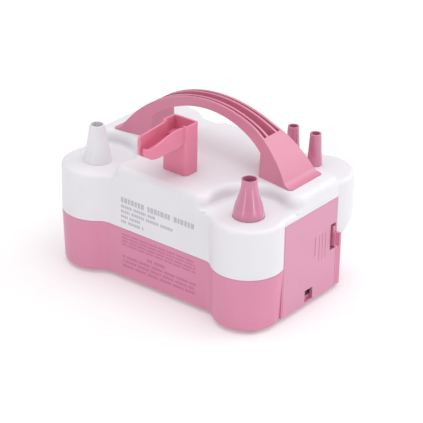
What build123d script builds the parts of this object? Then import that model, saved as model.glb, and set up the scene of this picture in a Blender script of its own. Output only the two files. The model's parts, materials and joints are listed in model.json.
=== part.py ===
from build123d import *

import os
from math import atan2, cos, degrees, radians, sin, sqrt

# Electric balloon pump: a four-lobed two-part housing with a motor and fan inside, two large and two
# small blowing nozzles, a balloon-tying tool, a carrying handle and a cord compartment behind a door.
# Millimetres. +X is the door end, -Y the front, +Z up. The origin is on the table, under the middle
# of the four-lobed body.

# ---- Body plan and heights
LOBE_X = 77.95
LOBE_Y = 45.78
LOBE_R = 29.55
END_X = 105.68
WAIST_Y = 64.34
WAIST_FILLET = 11.83
WALL = 2.5
BASE_Z = 3.0
PARTING_Z = 49.45
FRONT_PAD_Z = 91.0
BACK_PAD_Z = 98.5
DECK_Z = 102.5
LOWER_DRAFT = 2.3
LOWER_RIM_R = 3.0
SEAM = 0.45
PAD_RIM_R = 4.0
DECK_RIM_R = 6.0
END_PANEL_HALF = 36.5

# ---- Pads that the nozzles stand on
FRONT_PAD_R = 32.6
DECK_CORNER = 9.0
COVE_R = 3.8
BACK_PAD_X = 36.0
BACK_PAD_Y = 40.0
BACK_PAD_CORNER = 14.0

# ---- Finger scoop beside the door latch, cut across the back right lobe
SCOOP_ANGLE = 38.2
SCOOP_DISTANCE = 109.2
SCOOP_LOW_Z = 50.0
SCOOP_HIGH_Z = 62.0
SCOOP_DEPTH = 10.0

# ---- Door and cord compartment
DOOR_HALF = 35.3
DOOR_BOTTOM = 4.6
DOOR_TOP = 85.5
DOOR_THICK = 3.0
DOOR_FACE_X = 105.65
DOOR_GAP = 0.3
JAMB_THICK = 3.0
BAY_FRONT_Y = -28.0
BAY_BACK_Y = 32.0
BAY_BOTTOM_Z = 9.0
BAY_TOP_Z = 82.0
BAY_INNER_X = 60.0
BAY_WALL = 1.8
HINGE_PIN_R = 0.9
LATCH_SLOT_Y = (27.0, 34.0)
LATCH_SLOT_Z = (40.5, 63.5)
GLAND_R = 5.5
GLAND_BORE_R = 3.3
GLAND_Z = 20.0
CORD_HOLE = 10.5
CORD_HOLE_Z = 11.5

# ---- Nozzles
NOZZLE_TOP_Z = 122.7
NOZZLE_TIP_R = 6.3
TIP_ROUND = 0.4
PUSH_BORE_R = 5.3
WHITE_BORE_R = 4.9
SMALL_BORE_R = 3.3
PUSH_BASE_R = 12.5
FLANGE_R = 14.8
FLANGE_Z = 86.2
STEM_R = 7.0
STEM_LOW_Z = 74.0
SMALL_NOZZLE_XY = ((49.2, 49.6), (71.4, 49.6))
SMALL_TOP_Z = 126.0
SMALL_TAIL_R = 4.9
SMALL_TAIL_Z = 86.0
WHITE_TAIL_R = 8.4
WHITE_TAIL_Z = 76.0
SPRING_R = 11.2
SPRING_TURNS = 5

# ---- Handle
HANDLE_Y = 11.0
HANDLE_TOP_Z = 149.5
HANDLE_UNDER_Z = 142.4
HANDLE_SHOULDER_X = 58.35
HANDLE_SHOULDER_Z = 132.8
HANDLE_FOOT_X = 92.0
HANDLE_INNER_X = 56.5
HANDLE_SPRING_Z = 122.0
HANDLE_DRAFT = 7.22
HANDLE_SCREWS = ((72.0, 5.0), (72.0, 17.0), (-72.0, 5.0), (-72.0, 17.0))
GROOVE_END_X = 56.5
GRIP_FLOOR = 2.5

# ---- Balloon-tying tool
TOOL_X = 0.6
TOOL_HALF = 12.6
TOOL_BACK_Y = -27.2
TOOL_FRONT_Y = -43.0
TOOL_TOP_Z = 145.0
TOOL_TIP_Y = -83.0
TOOL_WALL = 2.0
TOOL_FLOOR_Z = 134.0
TOOL_SCREWS = ((0.6, -35.0),)

# ---- Motor and fan
MOTOR_X = -22.0
MOTOR_Y = 6.0
FAN_R = 38.0
CASING_R = 46.0
CASING_LOW_Z = 8.0
CASING_TOP_Z = 34.0
RISER_X = MOTOR_X - 35.0
CASING_EAR_Z = 20.0
CASING_POSTS = [(MOTOR_X + 51 * cos(radians(a)), MOTOR_Y + 51 * sin(radians(a))) for a in (70, 175, -40)]
REAR_PORT = (8.0, 30.0)
INTAKE_R = 17.0
INTAKE_SLOTS = 5
FAN_Z = (13.0, 29.0)
FAN_BLADES = 9
SHAFT_R = 3.0
SHAFT_Z = (12.0, 93.5)
CORE_Z0 = 45.0
CORE_Z1 = 69.0
UPPER_BEARING_Z = 88.0
ARMATURE_SLOTS = 12
MOTOR_SCREWS = [(MOTOR_X + 22 * cos(radians(a)), MOTOR_Y + 22 * sin(radians(a))) for a in (30, 150, 270)]

# ---- Air ducts
DUCT_R = 9.2
DUCT_BORE_R = 7.6
RISER_R = 9.8
RISER_BORE_R = 7.2
DUCT_Z = 57.0
SHOULDER_Z = 69.0
COLLAR_Z = 79.5
WHITE_RISER_Z = 85.5
SWITCH_SEAT_Z = 71.5
SWITCH_OFFSET = 22.9
PLENUM_Z = 80.0

# ---- Rocker switch in the back wall
SWITCH_X = -36.0
SWITCH_Z = 76.0

# ---- Screws
SCREW_R = 1.6
SCREW_HEAD_R = 3.2
SCREW_HEAD_Z = 38.0
BOSS_R = 4.5
BOSSES = ((94.0, -60.0), (-94.0, -60.0), (76.0, 66.0), (-76.0, 66.0))
FOOT_R = 9.0
FEET = ((80.0, -48.0), (-80.0, -48.0), (74.0, 44.0), (-74.0, 44.0))

os.makedirs("parts", exist_ok=True)


# ---- Helpers
def block(x0, x1, y0, y1, z0, z1):
    """Box between two corners."""
    middle = Pos((x0 + x1) / 2, (y0 + y1) / 2, (z0 + z1) / 2)
    return middle * Box(x1 - x0, y1 - y0, z1 - z0)


def rod(radius, z0, z1, x=0.0, y=0.0):
    """Upright cylinder from z0 to z1."""
    return Pos(x, y, (z0 + z1) / 2) * Cylinder(radius, z1 - z0)


def tube(outer, inner, z0, z1, x=0.0, y=0.0):
    """Upright tube from z0 to z1."""
    return rod(outer, z0, z1, x, y) - rod(inner, z0 - 1, z1 + 1, x, y)


def turned(edges, x=0.0, y=0.0):
    """Solid of revolution about an upright axis, from the edges of a closed radius-height outline."""
    return Pos(x, y, 0) * revolve(make_face(edges), axis=Axis.Z)


def rz(*points):
    """Radius-height pairs as points in the X-Z plane."""
    return [(r, 0, z) for r, z in points]


def prism_xz(points, y0, y1):
    """Closed X-Z outline pushed from y0 to y1."""
    face = make_face(Polyline(*[(x, 0, z) for x, z in points], close=True))
    return Pos(0, y0, 0) * extrude(face, amount=y1 - y0, dir=(0, 1, 0))


def mirrored_x(solid):
    """The solid and its mirror image across the X = 0 plane."""
    return [solid, mirror(solid, about=Plane.YZ)]


def save(name, *solids):
    """Write one node, as a single solid or as a group of separate ones."""
    shape = solids[0] if len(solids) == 1 else Compound(children=list(solids))
    shape.label = name
    export_step(shape, f"parts/{name}.step")


def outline(inset=0.0):
    """Plan of the four-lobed body, moved inwards by inset."""
    corners = [(sx * LOBE_X, sy * LOBE_Y) for sx in (-1, 1) for sy in (-1, 1)]
    waist = WAIST_Y - inset
    with BuildSketch() as plan:
        with Locations(*corners):
            Circle(LOBE_R - inset)
        Rectangle(2 * (END_X - inset), 2 * LOBE_Y)
        Rectangle(2 * LOBE_X, 2 * waist)
        notches = [v for v in plan.vertices() if abs(abs(v.Y) - waist) < 0.01]
        fillet(notches, WAIST_FILLET + inset)
    return plan.sketch


def upright(sketch, z0, z1):
    """Sketch on the ground plane, extruded between two heights."""
    return Pos(0, 0, z0) * extrude(sketch, amount=z1 - z0)


def scoop(clearance=0.0):
    """Cutter for the finger scoop; a clearance makes it larger on every side."""
    inner = SCOOP_DISTANCE - clearance
    low = SCOOP_LOW_Z + clearance
    high = SCOOP_HIGH_Z + clearance
    outer = SCOOP_DISTANCE + SCOOP_DEPTH
    profile = [(inner, -5), (inner, low), (outer, high), (outer + 20, high), (outer + 20, -5)]
    cutter = prism_xz(profile, -40, 40)
    return Rot(0, 0, SCOOP_ANGLE) * cutter


def deck_plan(inset=0.0, with_back=False):
    """Plan of the raised deck: the body without its front pads, and without its back pads."""
    width = 90.0
    pad_x = BACK_PAD_X - inset + width / 2
    pad_y = BACK_PAD_Y - inset + width / 2
    with BuildSketch() as plan:
        add(outline(inset))
        with Locations((-LOBE_X, -LOBE_Y), (LOBE_X, -LOBE_Y)):
            Circle(FRONT_PAD_R + inset, mode=Mode.SUBTRACT)
        if not with_back:
            with Locations((-pad_x, pad_y), (pad_x, pad_y)):
                RectangleRounded(width, width, BACK_PAD_CORNER, mode=Mode.SUBTRACT)
    # The pads can leave slivers beyond the lobes, so only the largest region is kept. Moving its
    # edge in and out again rounds the corners.
    region = plan.sketch.faces().sort_by(SortBy.AREA)[-1]
    return offset(offset(region, -DECK_CORNER), DECK_CORNER)


def rounded_top(sketch, z0, z1, radius):
    """Upright block with its top edges rounded."""
    solid = upright(sketch, z0, z1)
    return fillet(solid.faces().sort_by(Axis.Z)[-1].edges(), radius)


def frame_block(z0, z1):
    """Thick frame around the door opening, kept solid inside the end wall."""
    return block(END_X - WALL - JAMB_THICK, END_X, -DOOR_HALF - 3, DOOR_HALF + 3, z0, z1)


def door_recess():
    """Recess that the door lies in, and the opening behind it."""
    face = block(DOOR_FACE_X - DOOR_THICK - DOOR_GAP + 0.05, END_X + 5, -DOOR_HALF - DOOR_GAP,
                 DOOR_HALF + DOOR_GAP, DOOR_BOTTOM - DOOR_GAP, DOOR_TOP + DOOR_GAP)
    opening = block(END_X - 15, END_X + 5, BAY_FRONT_Y, BAY_BACK_Y, BAY_BOTTOM_Z, BAY_TOP_Z)
    return face + opening


HINGE_X = DOOR_FACE_X - DOOR_THICK / 2
HINGE_Y = -DOOR_HALF + DOOR_THICK / 2
PIN_SPANS = ((BASE_Z, 10.0), (80.0, 89.0))


# ---- Lower housing
def lower_body(inset, bottom):
    """Drafted lower block, moved inwards by inset, with flat ends for the door."""
    plan = Pos(0, 0, PARTING_Z) * outline(inset)
    drafted = extrude(plan, amount=PARTING_Z - bottom, dir=(0, 0, -1), taper=LOWER_DRAFT)
    flat = block(-END_X + inset, END_X - inset, -END_PANEL_HALF, END_PANEL_HALF, bottom, PARTING_Z)
    return drafted + flat


def lower_housing():
    """Lower shell: walls, floor with intake slots, screw posts and the lower half of the door frame."""
    shell = lower_body(0.0, BASE_Z)
    shell = fillet(shell.faces().sort_by(Axis.Z)[0].edges(), LOWER_RIM_R)
    shell -= scoop()
    hollow = lower_body(WALL, BASE_Z + WALL) - scoop(WALL) - frame_block(BASE_Z, PARTING_Z)
    shell -= hollow
    shell -= upright(outline(-2), PARTING_Z - SEAM, PARTING_Z) - upright(outline(SEAM), 0, DECK_Z)
    for x, y in BOSSES:
        shell += rod(BOSS_R, BASE_Z + WALL, PARTING_Z, x, y)
        shell -= rod(SCREW_R + 0.2, BASE_Z - 1, PARTING_Z + 1, x, y)
        shell -= rod(SCREW_HEAD_R + 0.4, BASE_Z - 1, SCREW_HEAD_Z, x, y)
    for x, y in CASING_POSTS:
        shell += rod(4.0, BASE_Z + WALL, CASING_EAR_Z, x, y)
        shell -= rod(SCREW_R, CASING_EAR_Z - 10, CASING_EAR_Z + 1, x, y)
    for i in range(INTAKE_SLOTS):
        y = (i - (INTAKE_SLOTS - 1) / 2) * 6.0
        half = sqrt(INTAKE_R**2 - y**2)
        shell -= block(MOTOR_X - half, MOTOR_X + half, MOTOR_Y + y - 1.5, MOTOR_Y + y + 1.5,
                       BASE_Z - 1, BASE_Z + WALL + 1)
    shell -= door_recess()
    return shell - rod(HINGE_PIN_R, BASE_Z - 1, 12, HINGE_X, HINGE_Y)


# ---- Upper housing
def cove(middle, wall_r, side, start, sweep_angle):
    """Concave blend along an arc of the deck wall; side is +1 outside the arc and -1 inside it."""
    cx, cy = middle
    back = wall_r - side * 0.5
    toe = wall_r + side * COVE_R
    low = FRONT_PAD_Z - 4.5
    heart = (wall_r + side * COVE_R, FRONT_PAD_Z + COVE_R)
    mid = (heart[0] - side * COVE_R * cos(radians(45)), heart[1] - COVE_R * sin(radians(45)))
    arc = ThreePointArc(*rz((toe, FRONT_PAD_Z), mid, (wall_r, heart[1])))
    rest = Polyline(*rz((wall_r, heart[1]), (back, heart[1]), (back, low), (toe, low), (toe, FRONT_PAD_Z)))
    face = Rot(0, 0, start) * make_face([arc, rest])
    return Pos(cx, cy, 0) * revolve(face, axis=Axis.Z, revolution_arc=sweep_angle)


def front_coves():
    """Blends round the front right pad: the long arc and the two rounded deck corners."""
    reach = FRONT_PAD_R + DECK_CORNER
    waist_y = -WAIST_Y + DECK_CORNER
    waist = (LOBE_X - sqrt(reach**2 - (waist_y + LOBE_Y) ** 2), waist_y)
    end_x = END_X - DECK_CORNER
    end = (end_x, -LOBE_Y + sqrt(reach**2 - (end_x - LOBE_X) ** 2))
    to_waist = degrees(atan2(waist[1] + LOBE_Y, waist[0] - LOBE_X)) % 360
    to_end = degrees(atan2(end[1] + LOBE_Y, end[0] - LOBE_X))
    ring = cove((LOBE_X, -LOBE_Y), FRONT_PAD_R, -1, to_end, to_waist - to_end)
    at_waist = cove(waist, DECK_CORNER, 1, -90, to_waist - 180 + 90)
    at_end = cove(end, DECK_CORNER, 1, to_end - 180, 180 - to_end)
    return (ring + at_waist + at_end) & upright(outline(), FRONT_PAD_Z - 4, DECK_Z)


def upper_housing():
    """Upper shell: pads for the nozzles, raised deck, screw bosses and the door frame's upper half."""
    shell = rounded_top(outline(), PARTING_Z, FRONT_PAD_Z, PAD_RIM_R)
    shell += rounded_top(deck_plan(with_back=True), FRONT_PAD_Z - 6, BACK_PAD_Z, PAD_RIM_R)
    shell += rounded_top(deck_plan(), FRONT_PAD_Z - 6, DECK_Z, DECK_RIM_R)
    blend = front_coves()
    for piece in mirrored_x(blend):
        shell += piece
    shell -= scoop()
    hollow = upright(outline(WALL), PARTING_Z - 1, FRONT_PAD_Z - WALL)
    hollow += upright(deck_plan(WALL + COVE_R / 2, with_back=True), PARTING_Z, BACK_PAD_Z - WALL)
    hollow += upright(deck_plan(WALL + COVE_R / 2), PARTING_Z, DECK_Z - WALL)
    hollow -= scoop(WALL)
    hollow -= frame_block(PARTING_Z - 1, FRONT_PAD_Z)
    for x, y in BOSSES:
        hollow -= rod(BOSS_R, PARTING_Z - 2, DECK_Z, x, y)
    shell -= hollow
    for x, y in BOSSES:
        shell -= rod(SCREW_R, PARTING_Z - 1, PARTING_Z + 10, x, y)
    for x, y in HANDLE_SCREWS + TOOL_SCREWS:
        shell -= rod(SCREW_R + 0.2, DECK_Z - 10, DECK_Z + 1, x, y)
    for x, y in SMALL_NOZZLE_XY:
        shell -= rod(SMALL_TAIL_R, BACK_PAD_Z - 10, BACK_PAD_Z + 1, x, y)
    shell -= rod(WHITE_TAIL_R, FRONT_PAD_Z - 10, FRONT_PAD_Z + 1, -LOBE_X, -LOBE_Y)
    shell -= rod(PUSH_BASE_R + 0.3, FRONT_PAD_Z - 10, FRONT_PAD_Z + 1, LOBE_X, -LOBE_Y)
    shell -= block(SWITCH_X - 9.5, SWITCH_X + 9.5, WAIST_Y - 5, WAIST_Y + 5, SWITCH_Z - 6.5, SWITCH_Z + 6.5)
    shell -= door_recess()
    return shell - rod(HINGE_PIN_R, 80, PIN_SPANS[1][1], HINGE_X, HINGE_Y)


# ---- Fasteners
def screw(x, y, seat, length):
    """Pan-head screw pointing up, its head under the seat height, with a cross recess."""
    body = rod(SCREW_HEAD_R, seat - 2.4, seat, x, y) + rod(SCREW_R, seat, seat + length, x, y)
    body -= block(x - 1.8, x + 1.8, y - 0.35, y + 0.35, seat - 3, seat - 1.2)
    return body - block(x - 0.35, x + 0.35, y - 1.8, y + 1.8, seat - 3, seat - 1.2)


def screw_down(x, y, seat, length):
    """The same screw pointing down, its head above the seat height."""
    return mirror(screw(x, y, -seat, length), about=Plane.XY)


def rubber_foot(x, y):
    """Round rubber foot under the base."""
    foot = rod(FOOT_R, 0, BASE_Z, x, y)
    return chamfer(foot.faces().sort_by(Axis.Z)[0].edges(), 0.8)


# ---- Nozzles
def push_nozzle():
    """Bell-shaped nozzle that is pressed down to blow: bell, flange, switch tab and sliding stem."""
    tip = NOZZLE_TOP_Z
    bell = Spline(*rz((PUSH_BASE_R, FRONT_PAD_Z + 0.4), (11.9, 97.0), (9.8, 104.3), (7.3, 112.8),
                      (NOZZLE_TIP_R, tip)))
    rest = Polyline(*rz((NOZZLE_TIP_R, tip), (PUSH_BORE_R, tip), (PUSH_BORE_R, STEM_LOW_Z),
                        (STEM_R, STEM_LOW_Z), (STEM_R, FLANGE_Z), (FLANGE_R, FLANGE_Z),
                        (FLANGE_R, FLANGE_Z + 2), (PUSH_BASE_R, FLANGE_Z + 2),
                        (PUSH_BASE_R, FRONT_PAD_Z + 0.4)))
    nozzle = turned([bell, rest], LOBE_X, -LOBE_Y)
    tab = block(LOBE_X - 24.5, LOBE_X - 12, -LOBE_Y - 2.5, -LOBE_Y + 2.5, FLANGE_Z, FLANGE_Z + 2)
    recess = Polyline(*rz((8.2, FLANGE_Z - 1), (10.3, FLANGE_Z - 1), (10.1, 96.0), (8.2, 101.0)), close=True)
    nozzle += tab
    nozzle -= turned([recess], LOBE_X, -LOBE_Y)
    rim = [e for e in nozzle.edges() if abs(e.center().Z - tip) < 0.01]
    return fillet(rim, TIP_ROUND)


def white_nozzle():
    """Fixed nozzle that blows all the time: a tapered cone with a tail into the air duct."""
    tip = NOZZLE_TOP_Z
    cone = ThreePointArc(*rz((12.1, FRONT_PAD_Z + 1), (8.9, 105.5), (NOZZLE_TIP_R, tip)))
    rest = Polyline(*rz((NOZZLE_TIP_R, tip), (WHITE_BORE_R, tip), (WHITE_BORE_R, WHITE_TAIL_Z),
                        (WHITE_TAIL_R, WHITE_TAIL_Z), (WHITE_TAIL_R, FRONT_PAD_Z),
                        (12.3, FRONT_PAD_Z), (12.1, FRONT_PAD_Z + 1)))
    nozzle = turned([cone, rest], -LOBE_X, -LOBE_Y)
    rim = [e for e in nozzle.edges() if abs(e.center().Z - tip) < 0.01]
    return fillet(rim, TIP_ROUND)


def small_nozzle(x, y):
    """Small straight nozzle for modelling balloons."""
    tip = SMALL_TOP_Z
    outline_points = rz((6.2, BACK_PAD_Z), (4.7, tip), (SMALL_BORE_R, tip), (SMALL_BORE_R, SMALL_TAIL_Z),
                        (SMALL_TAIL_R, SMALL_TAIL_Z), (SMALL_TAIL_R, BACK_PAD_Z))
    nozzle = turned([Polyline(*outline_points, close=True)], x, y)
    rim = [e for e in nozzle.edges() if abs(e.center().Z - tip) < 0.01]
    return fillet(rim, TIP_ROUND)


def nozzle_seal():
    """Lip seal on top of the duct collar, round the sliding stem."""
    return tube(RISER_R, STEM_R + 0.05, COLLAR_Z, COLLAR_Z + 1.8, LOBE_X, -LOBE_Y)


def return_spring():
    """Coil spring that lifts the push nozzle."""
    wire = 0.6
    low = SHOULDER_Z + wire + 0.1
    height = FLANGE_Z - wire - 0.1 - low
    path = Helix(pitch=height / SPRING_TURNS, height=height, radius=SPRING_R)
    section = Plane(origin=path @ 0, z_dir=path % 0) * Circle(wire)
    return Pos(LOBE_X, -LOBE_Y, low) * sweep(section, path=path)


def microswitch():
    """Switch under the nozzle's tab, with its plunger."""
    x = LOBE_X - SWITCH_OFFSET
    body = block(x - 3.2, x + 3.2, -LOBE_Y - 9.9, -LOBE_Y + 9.9, SWITCH_SEAT_Z, SWITCH_SEAT_Z + 10.3)
    for dy in (-7.5, 0.5, 7.5):
        body += block(x - 3.4, x - 3.2, -LOBE_Y + dy - 1.2, -LOBE_Y + dy + 1.2,
                      SWITCH_SEAT_Z - 4, SWITCH_SEAT_Z + 3)
    return body + rod(1.0, SWITCH_SEAT_Z + 10.3, SWITCH_SEAT_Z + 10.5, x, -LOBE_Y)


# ---- Air path
def pipe_x(radius, x0, x1, y, z):
    """Cylinder along X."""
    return Pos((x0 + x1) / 2, y, z) * Rot(0, 90, 0) * Cylinder(radius, x1 - x0)


def front_duct():
    """Duct along the front: a leg from the fan casing, a cross pipe and a riser under each big nozzle."""
    y = -LOBE_Y
    riser_low = DUCT_Z - RISER_R - 1
    seat_x = LOBE_X - SWITCH_OFFSET
    body = pipe_x(DUCT_R, -LOBE_X, LOBE_X, y, DUCT_Z)
    body += rod(RISER_R, riser_low, WHITE_RISER_Z, -LOBE_X, y)
    body += rod(RISER_R, riser_low, COLLAR_Z, LOBE_X, y)
    body += rod(RISER_R, CASING_TOP_Z, DUCT_Z, RISER_X, y)
    body += rod(SPRING_R + 2, SHOULDER_Z - 2, SHOULDER_Z, LOBE_X, y)
    body += block(seat_x - 3.2, seat_x + 3.2, y - 5, y + 5, DUCT_Z, SWITCH_SEAT_Z)
    body -= pipe_x(DUCT_BORE_R, -LOBE_X, LOBE_X, y, DUCT_Z)
    body -= rod(WHITE_TAIL_R, WHITE_TAIL_Z, WHITE_RISER_Z + 1, -LOBE_X, y)
    body -= rod(RISER_BORE_R, DUCT_Z - 6, WHITE_TAIL_Z, -LOBE_X, y)
    body -= rod(STEM_R + 0.08, DUCT_Z - 6, COLLAR_Z + 1, LOBE_X, y)
    return body - rod(RISER_BORE_R, CASING_TOP_Z - 1, DUCT_Z + 6, RISER_X, y)


def rear_duct():
    """Hose and plenum that feed the two small nozzles."""
    (xa, y), (xb, _) = SMALL_NOZZLE_XY
    z = PLENUM_Z
    body = block(xa - 8, xb + 7, y - 7, y + 7, z, z + 14)
    body -= block(xa - 6.2, xb + 5.2, y - 5.2, y + 5.2, z + 1.8, z + 12.2)
    for x in (xa, xb):
        body -= rod(SMALL_TAIL_R, z + 10, z + 16, x, y)
    px, py = REAR_PORT
    turn = Vector(xa - 8, y, z + 7)
    corner = Vector(px, py, z + 7)
    path = FilletPolyline(Vector(px, py, CASING_TOP_Z), corner, turn, radius=12.0)
    skin = sweep(Plane(origin=path @ 0, z_dir=path % 0) * Circle(5.5), path=path)
    bore = sweep(Plane(origin=path @ 0, z_dir=path % 0) * Circle(4.1), path=path)
    inlet = Pos(xa - 6, y, z + 7) * Rot(0, 90, 0) * Cylinder(4.1, 6)
    return (body + skin) - bore - inlet


def casing_plan(grow=0.0):
    """Plan of the fan casing: a round body with a square outlet towards the front."""
    with BuildSketch() as plan:
        with Locations((MOTOR_X, MOTOR_Y)):
            Circle(CASING_R + grow)
        left = MOTOR_X - CASING_R - grow
        right = RISER_X + 11 + grow
        bottom = -LOBE_Y - 11 - grow
        with Locations(((left + right) / 2, (MOTOR_Y + bottom) / 2)):
            Rectangle(right - left, MOTOR_Y - bottom)
    return plan.sketch


def fan_casing_lower():
    """Lower half of the fan casing: tub with the intake ring and three fixing ears."""
    wall_top = CASING_TOP_Z - 2
    body = upright(casing_plan(), CASING_LOW_Z, wall_top)
    body -= upright(casing_plan(-2.0), CASING_LOW_Z + 2, wall_top + 1)
    for x, y in CASING_POSTS:
        body += rod(6.0, CASING_EAR_Z, CASING_EAR_Z + 2.5, x, y) - rod(CASING_R - 1, 0, 50, MOTOR_X, MOTOR_Y)
        body -= rod(SCREW_R + 0.2, CASING_EAR_Z - 1, CASING_EAR_Z + 4, x, y)
    return body - rod(INTAKE_R, CASING_LOW_Z - 1, CASING_LOW_Z + 3, MOTOR_X, MOTOR_Y)


def fan_casing_cover():
    """Cover of the fan casing, which carries the motor and the two air outlets."""
    low = CASING_TOP_Z - 2
    body = upright(casing_plan(), low, CASING_TOP_Z)
    body -= rod(9.0, low - 1, CASING_TOP_Z + 1, MOTOR_X, MOTOR_Y)
    body += rod(RISER_BORE_R, low, CASING_TOP_Z + 6, RISER_X, -LOBE_Y)
    body -= rod(RISER_BORE_R - 1.6, low - 1, CASING_TOP_Z + 7, RISER_X, -LOBE_Y)
    body -= rod(4.1, low - 1, CASING_TOP_Z + 1, *REAR_PORT)
    for x, y in MOTOR_SCREWS:
        body -= rod(SCREW_R + 0.2, low - 1, CASING_TOP_Z + 1, x, y)
    return body


def intake_gasket():
    """Foam ring that seals the fan intake to the slotted floor."""
    return tube(INTAKE_R + 5, INTAKE_R + 1, BASE_Z + WALL, CASING_LOW_Z, MOTOR_X, MOTOR_Y)


def impeller():
    """Centrifugal impeller: back plate, shroud ring, hub and swept blades."""
    low, high = FAN_Z
    body = rod(FAN_R, high - 1.6, high)
    body += tube(FAN_R, INTAKE_R, low, low + 1.4)
    body += rod(7.0, low + 5, high)
    for i in range(FAN_BLADES):
        blade = block(-11.5, 11.5, -0.7, 0.7, low + 1, high - 1)
        body += Rot(0, 0, 360 * i / FAN_BLADES) * Pos(26.0, 0, 0) * Rot(0, 0, -38) * blade
    body &= rod(FAN_R, low, high)
    return Pos(MOTOR_X, MOTOR_Y, 0) * (body - rod(SHAFT_R, 0, 60))


def impeller_nut():
    """Hexagonal nut under the impeller hub."""
    nut = Pos(0, 0, FAN_Z[0] + 1) * extrude(RegularPolygon(5.6, 6), amount=4)
    return Pos(MOTOR_X, MOTOR_Y, 0) * (nut - rod(SHAFT_R, 0, 60))


# ---- Motor
def at_motor(solid):
    """Solid modelled about the Z axis, moved to the motor's axis."""
    return Pos(MOTOR_X, MOTOR_Y, 0) * solid


def lower_bracket():
    """Motor end bracket on the fan casing, with the lower bearing seat."""
    body = rod(30, CASING_TOP_Z, CASING_TOP_Z + 2.5) + rod(11, CASING_TOP_Z, CASING_TOP_Z + 7)
    for angle in (30, 150, 210, 330):
        leg = Pos(26.5, 0, 0) * rod(2.4, CASING_TOP_Z, CORE_Z0)
        body += Rot(0, 0, angle) * leg
    body -= rod(8, CASING_TOP_Z + 1.5, CASING_TOP_Z + 8)
    body = at_motor(body - rod(4.5, 0, 60))
    for x, y in MOTOR_SCREWS:
        body -= rod(SCREW_R, CASING_TOP_Z - 1, CASING_TOP_Z + 2, x, y)
    return body


def upper_bracket():
    """Motor top bracket: ring on the core, two posts and the bridge that holds the upper bearing."""
    body = tube(29, 23.5, CORE_Z1, CORE_Z1 + 3) - block(-19, 19, -30, 30, CORE_Z1 - 1, CORE_Z1 + 4)
    for sign in (-1, 1):
        x0, x1 = sorted((sign * 25.0, sign * 28.0))
        body += block(x0, x1, -7, 7, CORE_Z1 + 1, UPPER_BEARING_Z + 5)
    body += block(-26, 26, -9.5, 9.5, UPPER_BEARING_Z, UPPER_BEARING_Z + 5) & rod(28, 0, 120)
    body -= rod(8, UPPER_BEARING_Z - 1, UPPER_BEARING_Z + 4)
    return at_motor(body - rod(4.0, 60, 120))


def bearing(z):
    """Shielded ball bearing."""
    ring = tube(8, SHAFT_R + 0.05, z, z + 4)
    groove = tube(6.6, 4.6, z + 3.7, z + 4.5)
    return at_motor(ring - groove)


def stator_core():
    """Laminated stator with two poles."""
    body = tube(29, 16.4, CORE_Z0, CORE_Z1)
    for sx in (-1, 1):
        for sy in (-1, 1):
            x0, x1 = sorted((sx * 11.0, sx * 17.2))
            y0, y1 = sorted((sy * 16.0, sy * 23.2))
            body -= block(x0, x1, y0, y1, CORE_Z0 - 1, CORE_Z1 + 1)
    return at_motor(body)


def field_coil(sign):
    """Copper field coil round one pole."""
    y0, y1 = sorted((sign * 17.4, sign * 23.0))
    coil = block(-17, 17, y0, y1, CORE_Z0 - 4, CORE_Z1 + 2)
    window = block(-11, 11, y0 - 1, y1 + 1, CORE_Z0, CORE_Z1)
    return at_motor(coil - window)


def armature_core():
    """Slotted armature stack."""
    body = rod(15.6, CORE_Z0, CORE_Z1) - rod(SHAFT_R, 0, 100)
    for i in range(ARMATURE_SLOTS):
        slot = block(9.5, 17, -1.3, 1.3, CORE_Z0 - 1, CORE_Z1 + 1)
        body -= Rot(0, 0, 360 * i / ARMATURE_SLOTS) * slot
    return at_motor(body)


def armature_windings():
    """Copper windings: end turns joined through the slots."""
    body = tube(14.2, SHAFT_R + 1.5, CORE_Z0 - 4, CORE_Z0) + tube(14.2, SHAFT_R + 1.5, CORE_Z1, CORE_Z1 + 4)
    for i in range(ARMATURE_SLOTS):
        bar = block(9.7, 14.0, -1.1, 1.1, CORE_Z0 - 1, CORE_Z1 + 1)
        body += Rot(0, 0, 360 * i / ARMATURE_SLOTS) * bar
    return at_motor(body)


def commutator():
    """Copper commutator with its segment gaps."""
    low = CORE_Z1 + 5
    body = tube(8.5, SHAFT_R, low, low + 11)
    for i in range(ARMATURE_SLOTS):
        gap = block(7.9, 9, -0.2, 0.2, low - 1, low + 12)
        body -= Rot(0, 0, 360 * i / ARMATURE_SLOTS) * gap
    return at_motor(body)


def brush_holder(sign):
    """Square brass tube fixed to one post of the upper bracket."""
    x0, x1 = sorted((sign * 10.0, sign * 25.0))
    z = CORE_Z1 + 10.5
    tube_out = block(x0, x1, -4.2, 4.2, z - 4.2, z + 4.2)
    return at_motor(tube_out - block(x0 - 1, x1 + 1, -3, 3, z - 3, z + 3))


def carbon_brush(sign):
    """Carbon block that rests on the commutator."""
    x0, x1 = sorted((sign * 8.6, sign * 20.0))
    z = CORE_Z1 + 10.5
    return at_motor(block(x0, x1, -3, 3, z - 3, z + 3))


# ---- Cord compartment
def cord_bay():
    """Tub behind the door that stores the cord."""
    back = END_X - WALL - JAMB_THICK
    body = block(BAY_INNER_X - BAY_WALL, back, BAY_FRONT_Y - BAY_WALL, BAY_BACK_Y + 5,
                 BAY_BOTTOM_Z - BAY_WALL, BAY_TOP_Z + BAY_WALL)
    body -= block(BAY_INNER_X, back + 1, BAY_FRONT_Y, BAY_BACK_Y + 5 - BAY_WALL, BAY_BOTTOM_Z, BAY_TOP_Z)
    return body - pipe_x(GLAND_R, BAY_INNER_X - 5, BAY_INNER_X + 1, 0, GLAND_Z)


def cord_gland():
    """Rubber grommet where the cord leaves the compartment."""
    x = BAY_INNER_X
    body = pipe_x(GLAND_R + 2.5, x, x + 2, 0, GLAND_Z) + pipe_x(GLAND_R, x - 6, x, 0, GLAND_Z)
    return body - pipe_x(GLAND_BORE_R, x - 8, x + 4, 0, GLAND_Z)


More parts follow.
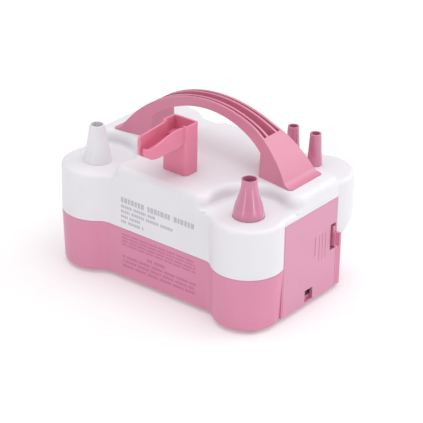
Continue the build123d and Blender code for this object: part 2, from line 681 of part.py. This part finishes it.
def cord_door():
    """Door of the compartment: round hinge edge, latch slot, cord hole, grip ribs and an arrow."""
    x1 = DOOR_FACE_X
    x0 = x1 - DOOR_THICK
    body = block(x0, x1, HINGE_Y, DOOR_HALF, DOOR_BOTTOM, DOOR_TOP)
    body = fillet(body.edges().filter_by(Axis.X).group_by(Axis.Y)[-1], 2.0)
    body += rod(DOOR_THICK / 2, DOOR_BOTTOM, DOOR_TOP, HINGE_X, HINGE_Y)
    body -= rod(HINGE_PIN_R + 0.06, 0, PIN_SPANS[0][1] + 0.3, HINGE_X, HINGE_Y)
    body -= rod(HINGE_PIN_R + 0.06, PIN_SPANS[1][0] - 0.3, 95, HINGE_X, HINGE_Y)
    body -= block(x0 - 1, x1 + 1, *LATCH_SLOT_Y, *LATCH_SLOT_Z)
    half = CORD_HOLE / 2
    body -= block(x0 - 1, x1 + 1, -half, half, CORD_HOLE_Z - half, CORD_HOLE_Z + half)
    for i in range(3):
        y = 12.5 + 4.2 * i
        body += block(x1 - 0.5, x1 + 0.25, y - 0.5, y + 0.5, 37, 60)
    arrow = make_face(Polyline((0, -3, 52), (0, 7, 43), (0, 7, 61), close=True))
    body -= Pos(x1 - 0.35, 0, 0) * extrude(arrow, amount=2, dir=(1, 0, 0))
    return body


def door_latch():
    """Sliding latch: flange and hook behind the door, thumb tab in front."""
    face = DOOR_FACE_X
    back = face - DOOR_THICK
    body = block(back - 0.2, face + 0.2, 30.8, 33.3, 43.5, 60.5)
    for z in (38.0, 59.5):
        body += block(back - 1.2, back - 0.2, 27.5, 31.3, z, z + 6.5)
    body += block(back - 1.2, back - 0.2, 30.8, 31.3, 43.5, 60.5)
    body += block(face + 0.2, face + 1.4, 31.0, 35.2, 43.5, 55.0)
    body += block(face + 1.2, face + 5.0, 33.0, 35.2, 43.5, 55.0)
    body += block(back - 5.5, back - 1.0, 28.8, 31.0, 46.0, 53.0)
    body += block(back - 5.5, back - 3.5, 28.8, 31.3, 46.0, 53.0)
    return body


# ---- Switch
def switch_body():
    """Rocker switch body with its bezel, snapped into the back wall."""
    x, y, z = SWITCH_X, WAIST_Y, SWITCH_Z
    body = block(x - 9.5, x + 9.5, y - 18, y, z - 6.5, z + 6.5)
    body += block(x - 11.5, x + 11.5, y, y + 1.8, z - 8.5, z + 8.5)
    body -= block(x - 8.6, x + 8.6, y - 7, y + 3, z - 5.5, z + 5.5)
    body -= rod(0.95, z - 6.2, z + 6.2, x, y - 2.4)
    for dx in (-6, 0, 6):
        body += block(x + dx - 0.4, x + dx + 0.4, y - 26, y - 18, z - 2.4, z + 2.4)
    return body


def switch_rocker():
    """Three-position rocker on its cross pin."""
    x, y, z = SWITCH_X, WAIST_Y - 2.4, SWITCH_Z
    points = [(-7.9, -1.5), (7.9, -1.5), (7.9, 3.3), (0, 2.1), (-7.9, 3.3)]
    face = make_face(Polyline(*[(x + dx, y + dy, z - 5.2) for dx, dy in points], close=True))
    return extrude(face, amount=10.4, dir=(0, 0, 1)) + rod(0.9, z - 6.0, z + 6.0, x, y)


# ---- Handle
def arch(height, low, foot_x):
    """Arc from one side of the handle to the other through its crown."""
    return ThreePointArc((-foot_x, 0, low), (0, 0, height), (foot_x, 0, low))


def handle_width():
    """Solid that bounds the handle front and back: narrow grip, wider drafted feet."""
    with BuildSketch() as plan:
        with BuildLine():
            Polyline((-92.6, -21.4), (-49, -15.3), (49, -15.3), (92.6, -21.4), (92.6, 21.4), (49, 15.3),
                     (-49, 15.3), (-92.6, 21.4), close=True)
        make_face()
        fillet([v for v in plan.vertices() if abs(v.X) < 60], 80)
        fillet([v for v in plan.vertices() if abs(v.X) > 90], 3.5)
    return Pos(0, HANDLE_Y, DECK_Z) * extrude(plan.sketch, amount=50, taper=HANDLE_DRAFT)


def grip_half_width(x):
    """Half width of the grip at its top face."""
    radius = (HANDLE_SHOULDER_X**2 + (HANDLE_TOP_Z - HANDLE_SHOULDER_Z) ** 2) / (
        2 * (HANDLE_TOP_Z - HANDLE_SHOULDER_Z))
    top = HANDLE_TOP_Z - radius + sqrt(radius**2 - x**2)
    flare = max(0.0, abs(x) - 49) * 0.139
    return 15.3 + flare - (top - DECK_Z) * 0.1267


def groove(low_share, low_gap, high_share, high_gap):
    """Plan of one groove in the grip, between two lines that follow the grip's width."""
    xs = [GROOVE_END_X * (i / 6 - 1) for i in range(13)]
    near = [(x, low_share * grip_half_width(x) + low_gap) for x in xs]
    far = [(x, high_share * grip_half_width(x) + high_gap) for x in reversed(xs)]
    face = make_face(Polyline(*near, *far, close=True))
    return Pos(0, HANDLE_Y, DECK_Z) * extrude(face, amount=60)


def handle():
    """Arched handle with two hollow feet and three grooves along the grip."""
    outer = [
        arch(HANDLE_TOP_Z, HANDLE_SHOULDER_Z, HANDLE_SHOULDER_X),
        ThreePointArc((HANDLE_SHOULDER_X, 0, HANDLE_SHOULDER_Z), (72.6, 0, 120.9), (84.0, 0, 106.2)),
        ThreePointArc((84.0, 0, 106.2), (86.6, 0, 104.4), (HANDLE_FOOT_X, 0, 103.4)),
        Polyline((HANDLE_FOOT_X, 0, 103.4), (HANDLE_FOOT_X, 0, DECK_Z), (HANDLE_INNER_X, 0, DECK_Z),
                 (HANDLE_INNER_X - 1, 0, HANDLE_SPRING_Z)),
        arch(HANDLE_UNDER_Z, HANDLE_SPRING_Z, HANDLE_INNER_X - 1),
        Polyline((-HANDLE_INNER_X + 1, 0, HANDLE_SPRING_Z), (-HANDLE_INNER_X, 0, DECK_Z),
                 (-HANDLE_FOOT_X, 0, DECK_Z), (-HANDLE_FOOT_X, 0, 103.4)),
        ThreePointArc((-HANDLE_FOOT_X, 0, 103.4), (-86.6, 0, 104.4), (-84.0, 0, 106.2)),
        ThreePointArc((-84.0, 0, 106.2), (-72.6, 0, 120.9), (-HANDLE_SHOULDER_X, 0, HANDLE_SHOULDER_Z)),
    ]
    side = make_face(outer)
    body = Pos(0, HANDLE_Y - 30, 0) * extrude(side, amount=60, dir=(0, 1, 0))
    whole = body & handle_width()
    above = [
        arch(HANDLE_UNDER_Z + GRIP_FLOOR, HANDLE_SPRING_Z + GRIP_FLOOR, HANDLE_INNER_X),
        Polyline((HANDLE_INNER_X, 0, HANDLE_SPRING_Z + GRIP_FLOOR), (HANDLE_INNER_X, 0, 170),
                 (-HANDLE_INNER_X, 0, 170), (-HANDLE_INNER_X, 0, HANDLE_SPRING_Z + GRIP_FLOOR)),
    ]
    over = Pos(0, HANDLE_Y - 30, 0) * extrude(make_face(above), amount=60, dir=(0, 1, 0))
    result = whole
    for spec in ((-0.47, 1.1, 0.47, -1.1), (0.47, 1.1, 1.0, -2.2), (-1.0, 2.2, -0.47, -1.1)):
        result -= groove(*spec) & over
    pocket_points = [(60, DECK_Z - 1), (60, 124), (79.5, 105.0), (79.5, DECK_Z - 1)]
    pocket = prism_xz(pocket_points, HANDLE_Y - 11, HANDLE_Y + 11)
    for piece in mirrored_x(pocket):
        result -= piece
    for x, y in HANDLE_SCREWS:
        result += rod(3.6, DECK_Z, 140, x, y) & whole
        result -= rod(SCREW_R, DECK_Z - 1, DECK_Z + 7, x, y)
    return result


# ---- Balloon-tying tool
def arm_plan(root_half, tip_half, tip_y, corner):
    """Tapered plan of the arm or its trough, from inside the column to a rounded tip."""
    with BuildSketch() as plan:
        with BuildLine():
            Polyline((TOOL_X - root_half, TOOL_FRONT_Y + 3), (TOOL_X + root_half, TOOL_FRONT_Y + 3),
                     (TOOL_X + tip_half, tip_y), (TOOL_X - tip_half, tip_y), close=True)
        make_face()
        fillet([v for v in plan.vertices() if abs(v.Y - tip_y) < 0.01], corner)
    return plan.sketch


def tying_tool():
    """Hollow column with a tapered, open-topped arm that ends in a notched nose."""
    x0, x1 = TOOL_X - TOOL_HALF, TOOL_X + TOOL_HALF
    column = block(x0, x1, TOOL_FRONT_Y, TOOL_BACK_Y, DECK_Z, TOOL_TOP_Z)
    column = fillet(column.edges().filter_by(Axis.Z), 3.0)
    w = TOOL_WALL
    arm = upright(arm_plan(10.4, 6.0, TOOL_TIP_Y, 5.2), 120, TOOL_TOP_Z - 0.6)
    under = Spline((0, TOOL_FRONT_Y + 1, 132.5), (0, -48, 129.4), (0, -58, 128.3), (0, -74, 127.4),
                   (0, -79.5, 129.0), (0, TOOL_TIP_Y, 134.5))
    nose = [Line((0, TOOL_TIP_Y, 134.5), (0, TOOL_TIP_Y, 137.0)),
            ThreePointArc((0, TOOL_TIP_Y, 137.0), (0, TOOL_TIP_Y + 1.9, 141.8), (0, TOOL_TIP_Y + 6.5, 144.4))]
    rest = Polyline((0, TOOL_TIP_Y + 6.5, 144.4), (0, TOOL_TIP_Y + 6.5, 150), (0, TOOL_FRONT_Y + 1, 150),
                    (0, TOOL_FRONT_Y + 1, 132.5))
    side = Pos(x0 - 5, 0, 0) * extrude(make_face([under, *nose, rest]), amount=40, dir=(1, 0, 0))
    body = column + (arm & side)
    body -= block(x0 + w, x1 - w, TOOL_FRONT_Y + w, TOOL_BACK_Y - w, TOOL_FLOOR_Z, TOOL_TOP_Z + 5)
    body -= block(x0 + w, x1 - w, TOOL_FRONT_Y + w, TOOL_BACK_Y - w, DECK_Z - 1, TOOL_FLOOR_Z - w)
    trough = arm_plan(8.5, 4.2, TOOL_TIP_Y + w, 3.4)
    body -= upright(trough, TOOL_FLOOR_Z - 3, TOOL_TOP_Z + 5)
    body -= block(TOOL_X - 1.6, TOOL_X + 1.6, TOOL_TIP_Y - 1, TOOL_TIP_Y + 4, 130.5, 150)
    dip = Spline((0, -43.2, 144.2), (0, -53, 143.8), (0, -64, 140.8), (0, -72, 138.0), (0, -85, 138.2))
    over = Polyline((0, -85, 138.2), (0, -85, 150), (0, -43.2, 150), (0, -43.2, 144.2))
    body -= Pos(TOOL_X + 1.5, 0, 0) * extrude(make_face([dip, over]), amount=20, dir=(1, 0, 0))
    for x, y in TOOL_SCREWS:
        body += rod(3.6, DECK_Z, TOOL_FLOOR_Z - 1, x, y)
        body -= rod(SCREW_R, DECK_Z - 1, DECK_Z + 8, x, y)
    return body


# ---- Write every node
save("lower_housing", lower_housing())
save("upper_housing", upper_housing())
save("handle", handle())
save("tying_tool", tying_tool())
save("white_nozzle", white_nozzle())
save("push_nozzle", push_nozzle())
save("small_nozzle_left", small_nozzle(*SMALL_NOZZLE_XY[0]))
save("small_nozzle_right", small_nozzle(*SMALL_NOZZLE_XY[1]))
save("nozzle_seal", nozzle_seal())
save("return_spring", return_spring())
save("microswitch", microswitch())
save("front_duct", front_duct())
save("rear_duct", rear_duct())
save("fan_casing_lower", fan_casing_lower())
save("fan_casing_cover", fan_casing_cover())
save("intake_gasket", intake_gasket())
save("impeller", impeller())
save("impeller_nut", impeller_nut())
save("motor_shaft", at_motor(rod(SHAFT_R, *SHAFT_Z)))
save("lower_bearing", bearing(CASING_TOP_Z + 3))
save("upper_bearing", bearing(UPPER_BEARING_Z))
save("lower_bracket", lower_bracket())
save("upper_bracket", upper_bracket())
save("stator_core", stator_core())
save("armature_core", armature_core())
save("armature_windings", armature_windings())
save("commutator", commutator())
for side_name, side_sign in (("left", -1), ("right", 1)):
    save(f"brush_holder_{side_name}", brush_holder(side_sign))
    save(f"carbon_brush_{side_name}", carbon_brush(side_sign))
for side_name, side_sign in (("front", -1), ("back", 1)):
    save(f"field_coil_{side_name}", field_coil(side_sign))
save("cord_bay", cord_bay())
save("cord_gland", cord_gland())
save("cord_door", cord_door())
save("door_latch", door_latch())
save("hinge_pins", *[rod(HINGE_PIN_R, *span, HINGE_X, HINGE_Y) for span in PIN_SPANS])
save("switch_body", switch_body())
save("switch_rocker", switch_rocker())
save("rubber_feet", *[rubber_foot(x, y) for x, y in FEET])
save("housing_screws", *[screw(x, y, SCREW_HEAD_Z, 18) for x, y in BOSSES])
save("handle_screws", *[screw(x, y, DECK_Z - WALL, 9) for x, y in HANDLE_SCREWS])
save("tool_screw", *[screw(x, y, DECK_Z - WALL, 10) for x, y in TOOL_SCREWS])
save("casing_screws", *[screw_down(x, y, CASING_EAR_Z + 2.5, 9) for x, y in CASING_POSTS])
save("motor_screws", *[screw(x, y, CASING_TOP_Z - 2, 4) for x, y in MOTOR_SCREWS])
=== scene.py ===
import json
import math

import bpy
from mathutils import Matrix, Vector


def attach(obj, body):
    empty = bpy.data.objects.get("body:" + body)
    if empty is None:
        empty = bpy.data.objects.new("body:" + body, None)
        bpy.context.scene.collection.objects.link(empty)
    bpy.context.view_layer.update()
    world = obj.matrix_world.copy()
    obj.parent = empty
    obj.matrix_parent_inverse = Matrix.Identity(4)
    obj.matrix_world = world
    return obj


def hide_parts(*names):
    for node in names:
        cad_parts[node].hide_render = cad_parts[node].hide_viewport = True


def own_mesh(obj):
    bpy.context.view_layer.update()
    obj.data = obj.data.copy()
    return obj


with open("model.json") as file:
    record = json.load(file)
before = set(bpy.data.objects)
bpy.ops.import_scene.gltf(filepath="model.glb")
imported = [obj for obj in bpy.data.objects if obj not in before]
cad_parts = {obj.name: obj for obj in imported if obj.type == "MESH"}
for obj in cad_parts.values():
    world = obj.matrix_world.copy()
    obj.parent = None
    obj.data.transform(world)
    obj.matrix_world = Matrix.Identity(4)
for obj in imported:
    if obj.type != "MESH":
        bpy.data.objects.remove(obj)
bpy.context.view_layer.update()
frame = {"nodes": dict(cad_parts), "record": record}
NODES = frame["nodes"]
MM = 0.001


# ---------------------------------------------------------------- materials
def set_input(shader, name, value):
    """Sets a shader socket if this Blender has it."""
    if name in shader.inputs:
        shader.inputs[name].default_value = value


def new_material(name):
    """Empty node material with a Principled shader; returns (material, nodes, links, shader)."""
    mat = bpy.data.materials.new(name)
    mat.use_nodes = True
    tree = mat.node_tree
    tree.nodes.clear()
    out = tree.nodes.new("ShaderNodeOutputMaterial")
    shader = tree.nodes.new("ShaderNodeBsdfPrincipled")
    tree.links.new(shader.outputs["BSDF"], out.inputs["Surface"])
    return mat, tree.nodes, tree.links, shader


def noise(nodes, links, coords, scale, detail=3.0, rough=0.55):
    """Noise texture node on object coordinates."""
    tex = nodes.new("ShaderNodeTexNoise")
    tex.inputs["Scale"].default_value = scale
    tex.inputs["Detail"].default_value = detail
    tex.inputs["Roughness"].default_value = rough
    links.new(coords.outputs["Object"], tex.inputs["Vector"])
    return tex


def ramp(nodes, links, source, stops):
    """Colour ramp fed by source; stops are (position, colour)."""
    node = nodes.new("ShaderNodeValToRGB")
    while len(node.color_ramp.elements) < len(stops):
        node.color_ramp.elements.new(0.5)
    for element, (place, colour) in zip(node.color_ramp.elements, stops):
        element.position = place
        element.color = (*colour, 1.0)
    links.new(source, node.inputs["Fac"])
    return node


def span(nodes, links, source, low, high):
    """Maps a 0..1 source to low..high."""
    node = nodes.new("ShaderNodeMapRange")
    node.inputs["To Min"].default_value = low
    node.inputs["To Max"].default_value = high
    links.new(source, node.inputs["Value"])
    return node


def bump(nodes, links, shader, layers):
    """Stacks bump nodes; layers are (height socket, strength, distance)."""
    last = None
    for height, strength, distance in layers:
        node = nodes.new("ShaderNodeBump")
        node.inputs["Strength"].default_value = strength
        node.inputs["Distance"].default_value = distance
        links.new(height, node.inputs["Height"])
        if last is not None:
            links.new(last.outputs["Normal"], node.inputs["Normal"])
        last = node
    links.new(last.outputs["Normal"], shader.inputs["Normal"])


def tint(colour, gain):
    """Colour made lighter or darker."""
    return tuple(min(1.0, max(0.0, c * gain)) for c in colour)


def plastic(name, colour, roughness=0.32, grain=0.06, subsurface=0.0, coat=0.0):
    """Moulded plastic: faint flow marks in the colour, fine spark-eroded grain and soft waviness."""
    mat, nodes, links, shader = new_material(name)
    coords = nodes.new("ShaderNodeTexCoord")
    flow = noise(nodes, links, coords, 22.0, 4.0)
    base = ramp(nodes, links, flow.outputs["Fac"], [(0.30, tint(colour, 0.975)), (0.70, tint(colour, 1.015))])
    links.new(base.outputs["Color"], shader.inputs["Base Color"])
    smear = noise(nodes, links, coords, 60.0, 5.0)
    rough = span(nodes, links, smear.outputs["Fac"], roughness - 0.05, roughness + 0.07)
    links.new(rough.outputs["Result"], shader.inputs["Roughness"])
    fine = noise(nodes, links, coords, 2600.0, 2.0)
    wave = noise(nodes, links, coords, 45.0, 1.5)
    bump(nodes, links, shader, [(wave.outputs["Fac"], 0.05, 0.0006), (fine.outputs["Fac"], grain, 0.00006)])
    set_input(shader, "IOR", 1.5)
    if subsurface:
        set_input(shader, "Subsurface Weight", subsurface)
        set_input(shader, "Subsurface Radius", (1.0, 0.55, 0.6))
        set_input(shader, "Subsurface Scale", 0.002)
    if coat:
        set_input(shader, "Coat Weight", coat)
        set_input(shader, "Coat Roughness", 0.12)
    return mat


def rubber(name, colour, roughness=0.75):
    """Rubber with a fine stipple and dusty patches."""
    mat, nodes, links, shader = new_material(name)
    coords = nodes.new("ShaderNodeTexCoord")
    dust = noise(nodes, links, coords, 180.0, 6.0)
    base = ramp(nodes, links, dust.outputs["Fac"], [(0.42, colour), (0.75, tuple(c + 0.05 for c in colour))])
    links.new(base.outputs["Color"], shader.inputs["Base Color"])
    fine = noise(nodes, links, coords, 3000.0, 3.0)
    rough = span(nodes, links, fine.outputs["Fac"], roughness - 0.08, min(1.0, roughness + 0.12))
    links.new(rough.outputs["Result"], shader.inputs["Roughness"])
    bump(nodes, links, shader, [(fine.outputs["Fac"], 0.35, 0.00015)])
    return mat


def foam(name, colour):
    """Open-cell foam, with painted shade darkening the pits of its cells."""
    mat, nodes, links, shader = new_material(name)
    coords = nodes.new("ShaderNodeTexCoord")
    cells = nodes.new("ShaderNodeTexVoronoi")
    cells.inputs["Scale"].default_value = 1400.0
    links.new(coords.outputs["Object"], cells.inputs["Vector"])
    # Painted shade: the ramp darkens the cell pits that the bump below sinks.
    base = ramp(nodes, links, cells.outputs["Distance"], [(0.1, tint(colour, 0.4)), (0.6, colour)])
    links.new(base.outputs["Color"], shader.inputs["Base Color"])
    set_input(shader, "Roughness", 0.95)
    bump(nodes, links, shader, [(cells.outputs["Distance"], 0.8, 0.0004)])
    return mat


def metal(name, colour, roughness=0.3, brushed=True, stretch=(1.0, 1.0, 30.0)):
    """Metal with machining marks and a little staining."""
    mat, nodes, links, shader = new_material(name)
    coords = nodes.new("ShaderNodeTexCoord")
    scale = nodes.new("ShaderNodeMapping")
    scale.inputs["Scale"].default_value = stretch
    links.new(coords.outputs["Object"], scale.inputs["Vector"])
    marks = nodes.new("ShaderNodeTexNoise")
    marks.inputs["Scale"].default_value = 350.0
    marks.inputs["Detail"].default_value = 5.0
    links.new(scale.outputs["Vector"], marks.inputs["Vector"])
    stain = noise(nodes, links, coords, 90.0, 5.0)
    base = ramp(nodes, links, stain.outputs["Fac"], [(0.35, tint(colour, 0.86)), (0.65, tint(colour, 1.04))])
    links.new(base.outputs["Color"], shader.inputs["Base Color"])
    rough = span(nodes, links, marks.outputs["Fac"], roughness - 0.1, roughness + 0.15)
    links.new(rough.outputs["Result"], shader.inputs["Roughness"])
    set_input(shader, "Metallic", 1.0)
    if brushed:
        bump(nodes, links, shader, [(marks.outputs["Fac"], 0.12, 0.00008)])
    return mat


def banded(name, colour, scale, dark, metallic, axis="Z"):
    """Stacked sheets or wound wire: fine bands along an axis."""
    mat, nodes, links, shader = new_material(name)
    coords = nodes.new("ShaderNodeTexCoord")
    bands = nodes.new("ShaderNodeTexWave")
    bands.wave_type = "BANDS"
    bands.bands_direction = axis
    bands.inputs["Scale"].default_value = scale
    bands.inputs["Distortion"].default_value = 0.4
    bands.inputs["Detail"].default_value = 1.0
    links.new(coords.outputs["Object"], bands.inputs["Vector"])
    base = ramp(nodes, links, bands.outputs["Fac"], [(0.1, tint(colour, dark)), (0.5, colour)])
    links.new(base.outputs["Color"], shader.inputs["Base Color"])
    rough = span(nodes, links, bands.outputs["Fac"], 0.5, 0.3)
    links.new(rough.outputs["Result"], shader.inputs["Roughness"])
    set_input(shader, "Metallic", metallic)
    bump(nodes, links, shader, [(bands.outputs["Fac"], 0.5, 0.0002)])
    return mat


WHITE = (0.78, 0.77, 0.80)
PINK = (0.68, 0.255, 0.385)
HANDLE_PINK = (0.64, 0.22, 0.33)
DOOR_PINK = (0.65, 0.27, 0.40)
ROSE = (0.75, 0.225, 0.345)
DEEP_PINK = (0.60, 0.20, 0.32)

MATERIALS = {
    "white_shell": plastic("white_shell", WHITE, roughness=0.42, subsurface=0.1),
    "pink_shell": plastic("pink_shell", PINK, roughness=0.40, subsurface=0.08),
    "pink_handle": plastic("pink_handle", HANDLE_PINK, roughness=0.40, subsurface=0.08, coat=0.4),
    "pink_door": plastic("pink_door", DOOR_PINK, roughness=0.42, subsurface=0.08, coat=0.4),
    "pink_nozzle": plastic("pink_nozzle", DEEP_PINK, roughness=0.20, grain=0.02, subsurface=0.08, coat=0.8),
    "rose_tool": plastic("rose_tool", ROSE, roughness=0.36, subsurface=0.08),
    "pink_latch": plastic("pink_latch", PINK, roughness=0.38, subsurface=0.08),
    "inner_plastic": plastic("inner_plastic", (0.70, 0.70, 0.72), roughness=0.5),
    "black_plastic": plastic("black_plastic", (0.025, 0.025, 0.027), roughness=0.38),
    "red_rocker": plastic("red_rocker", (0.50, 0.02, 0.03), roughness=0.28, grain=0.03),
    "black_rubber": rubber("black_rubber", (0.03, 0.03, 0.032)),
    "grey_foam": foam("grey_foam", (0.10, 0.10, 0.11)),
    "screw_steel": metal("screw_steel", (0.55, 0.55, 0.56), 0.34),
    "shaft_steel": metal("shaft_steel", (0.62, 0.62, 0.64), 0.22),
    "spring_steel": metal("spring_steel", (0.56, 0.56, 0.58), 0.25, stretch=(1, 1, 1)),
    "brass": metal("brass", (0.72, 0.52, 0.22), 0.3),
    "carbon": rubber("carbon", (0.035, 0.035, 0.04), 0.55),
    "lamination": banded("lamination", (0.20, 0.20, 0.22), 320.0, 0.35, 0.7),
    "copper": banded("copper", (0.62, 0.26, 0.12), 420.0, 0.45, 0.85),
}

SLOT_OF = {s["node"]: s["material_slot"] for s in frame["record"]["subparts"]}
for node_name, node in NODES.items():
    node.data.materials.clear()
    node.data.materials.append(MATERIALS[SLOT_OF[node_name]])


def compressing_spring():
    """Own copy of the return spring's mesh, attached to the housing in place of the imported spring, which is
    hidden.
    """
    spring = bpy.data.objects.new("return_coil", NODES["return_spring"].data.copy())
    bpy.context.scene.collection.objects.link(spring)
    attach(spring, "housing")
    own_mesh(spring)
    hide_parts("return_spring")


compressing_spring()


# ---------------------------------------------------------------- print
WALL_Y = -64.34
PARTING_Z = 49.45
DRAFT = math.tan(math.radians(2.3))
INK_BACK = 0.02
INK_FRONT = 0.07
DASH_WIDTH = 0.56
DASH_VARIES = 0.14
DASH_SPACE = 0.20
WORD_SPACE = 0.85
DASHES_PER_WORD = 7
GREY_LEFT = -36.5
ROSE_LEFT = -36.0
ROSE_RIGHT = 40.5


def ink(name, colour):
    """Thin, slightly uneven printed ink."""
    mat, nodes, links, shader = new_material(name)
    coords = nodes.new("ShaderNodeTexCoord")
    speck = noise(nodes, links, coords, 900.0, 3.0)
    base = ramp(nodes, links, speck.outputs["Fac"], [(0.35, colour), (0.7, tint(colour, 1.25))])
    links.new(base.outputs["Color"], shader.inputs["Base Color"])
    rough = span(nodes, links, speck.outputs["Fac"], 0.45, 0.65)
    links.new(rough.outputs["Result"], shader.inputs["Roughness"])
    return mat


def wall_point(x, z, lift):
    """Point just in front of the front wall, following the draft below the parting line."""
    lean = max(0.0, PARTING_Z - z) * DRAFT
    return (x * MM, (WALL_Y + lean - lift) * MM, z * MM)


def printed_rows(name, rows, material):
    """Rows of plain dashes standing in for small print; a row is (x start, x end, top z, height).

    A dash's width and the spaces are shares of its row's height.
    """
    verts, faces = [], []
    for row, (x_start, x_end, top, height) in enumerate(rows):
        x, count = x_start, 0
        while x + 0.55 * height < x_end:
            width = height * (DASH_WIDTH + DASH_VARIES * math.sin(2.4 * count + row))
            first = len(verts)
            for lift in (INK_BACK, INK_FRONT):
                corners = ((x, top - height), (x + width, top - height), (x + width, top), (x, top))
                verts += [wall_point(px, pz, lift) for px, pz in corners]
            faces.append([first + i for i in (4, 5, 6, 7)])
            faces.append([first + i for i in (3, 2, 1, 0)])
            for i in range(4):
                j = (i + 1) % 4
                faces.append([first + i, first + j, first + 4 + j, first + 4 + i])
            count += 1
            space = WORD_SPACE if (count + row) % DASHES_PER_WORD == 0 else DASH_SPACE
            x += width + height * space
    mesh = bpy.data.meshes.new(name)
    mesh.from_pydata(verts, [], faces)
    obj = bpy.data.objects.new(name, mesh)
    bpy.context.scene.collection.objects.link(obj)
    mesh.materials.append(material)
    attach(obj, "housing")


def rating_print():
    """Grey rows on the white shell and rose rows on the pink base, all without lettering."""
    grey = [(GREY_LEFT, 41.0, 77.4, 4.6)]
    grey += [(GREY_LEFT, end, 70.6 - 4.5 * i, 2.5) for i, end in enumerate((0.5, 20.0, -15.0, -12.0))]
    printed_rows("print_grey", grey, ink("ink_grey", (0.46, 0.45, 0.50)))
    rose = [(ROSE_LEFT, ROSE_RIGHT, 44.8 - 3.1 * i, 1.6) for i in range(4)]
    rose.append((-10.0, 10.0, 29.6, 2.6))
    rose += [(ROSE_LEFT, ROSE_RIGHT, 24.6 - 4.2 * i, 2.2) for i in range(3)]
    printed_rows("print_rose", rose, ink("ink_rose", (0.50, 0.15, 0.27)))


rating_print()


# ---------------------------------------------------------------- camera
CAMERA_AZIMUTH = math.radians(38.193)
CAMERA_ELEVATION = math.radians(26.788)
CAMERA_ROLL = math.radians(1.032)
CAMERA_DISTANCE = 1583.25
CAMERA_RIGHT = 4.338
CAMERA_UP = 1.119
LENS = 164.03
LOOK_HEIGHT = 50.0


def camera():
    """Long lens looking at the front right corner from above."""
    azimuth, elevation, roll = CAMERA_AZIMUTH, CAMERA_ELEVATION, CAMERA_ROLL
    back = Vector((math.sin(azimuth) * math.cos(elevation), -math.cos(azimuth) * math.cos(elevation),
                   math.sin(elevation)))
    right = Vector((math.cos(azimuth), math.sin(azimuth), 0.0))
    up = back.cross(right)
    right_r = math.cos(roll) * right + math.sin(roll) * up
    up_r = math.cos(roll) * up - math.sin(roll) * right
    data = bpy.data.cameras.new("camera")
    data.sensor_width = 36.0
    data.lens = LENS
    data.clip_start = 0.05
    data.clip_end = 50.0
    cam = bpy.data.objects.new("camera", data)
    aside = CAMERA_RIGHT * right_r + CAMERA_UP * up_r
    place = Vector((0, 0, LOOK_HEIGHT)) + aside + CAMERA_DISTANCE * back
    turn = Matrix((right_r, up_r, back)).transposed().to_4x4()
    cam.matrix_world = Matrix.Translation(place * MM) @ turn
    bpy.context.scene.collection.objects.link(cam)
    bpy.context.scene.camera = cam


# ---------------------------------------------------------------- floor and light
FLOOR_HALF = 6.0
FLOOR_GLOW = 0.22


def floor():
    """Pale seamless floor, faintly lit from within so that it stays white."""
    mesh = bpy.data.meshes.new("floor")
    half = FLOOR_HALF
    corners = [(-half, -half, 0), (half, -half, 0), (half, half, 0), (-half, half, 0)]
    mesh.from_pydata(corners, [], [(0, 1, 2, 3)])
    obj = bpy.data.objects.new("floor", mesh)
    bpy.context.scene.collection.objects.link(obj)
    mat, _, _, shader = new_material("floor")
    shader.inputs["Base Color"].default_value = (0.76, 0.76, 0.76, 1)
    shader.inputs["Roughness"].default_value = 0.9
    set_input(shader, "Specular IOR Level", 0.1)
    set_input(shader, "Emission Color", (1, 1, 1, 1))
    set_input(shader, "Emission Strength", FLOOR_GLOW)
    mesh.materials.append(mat)


def area_light(name, place, target, size, power, colour=(1, 1, 1)):
    """Soft rectangular light aimed at a point."""
    data = bpy.data.lights.new(name, "AREA")
    data.shape = "RECTANGLE"
    data.size, data.size_y = size
    data.energy = power
    data.color = colour
    obj = bpy.data.objects.new(name, data)
    obj.location = place
    aim = Vector(target) - Vector(place)
    obj.rotation_euler = aim.to_track_quat("-Z", "Y").to_euler()
    bpy.context.scene.collection.objects.link(obj)


def lighting():
    """Bright tent, brighter overhead, with a high softbox behind right and two upright strips."""
    world = bpy.data.worlds.new("studio")
    world.use_nodes = True
    nodes, links = world.node_tree.nodes, world.node_tree.links
    coords = nodes.new("ShaderNodeTexCoord")
    axes = nodes.new("ShaderNodeSeparateXYZ")
    links.new(coords.outputs["Generated"], axes.inputs["Vector"])
    pale, dim, full = (0.72, 0.715, 0.72), (0.24, 0.238, 0.24), (1.0, 0.99, 1.0)
    sky = ramp(nodes, links, axes.outputs["Z"], [(0.0, pale), (0.11, pale), (0.20, dim), (1.0, full)])
    links.new(sky.outputs["Color"], nodes["Background"].inputs["Color"])
    nodes["Background"].inputs["Strength"].default_value = 1.1
    bpy.context.scene.world = world
    area_light("top", (0.0, -0.20, 1.6), (0, 0, 0.05), (2.0, 1.6), 8.5)
    area_light("back_right", (0.70, 1.12, 0.88), (0, 0, 0.08), (1.3, 1.1), 7.5)
    area_light("strip_front", (0.03, -1.1, 0.25), (0.03, 0, 0.11), (0.18, 0.6), 1.0)
    area_light("strip_right", (1.06, -0.20, 0.25), (0.06, -0.04, 0.11), (0.20, 0.6), 1.3)


camera()
floor()
lighting()
bpy.context.scene.view_settings.view_transform = "Standard"
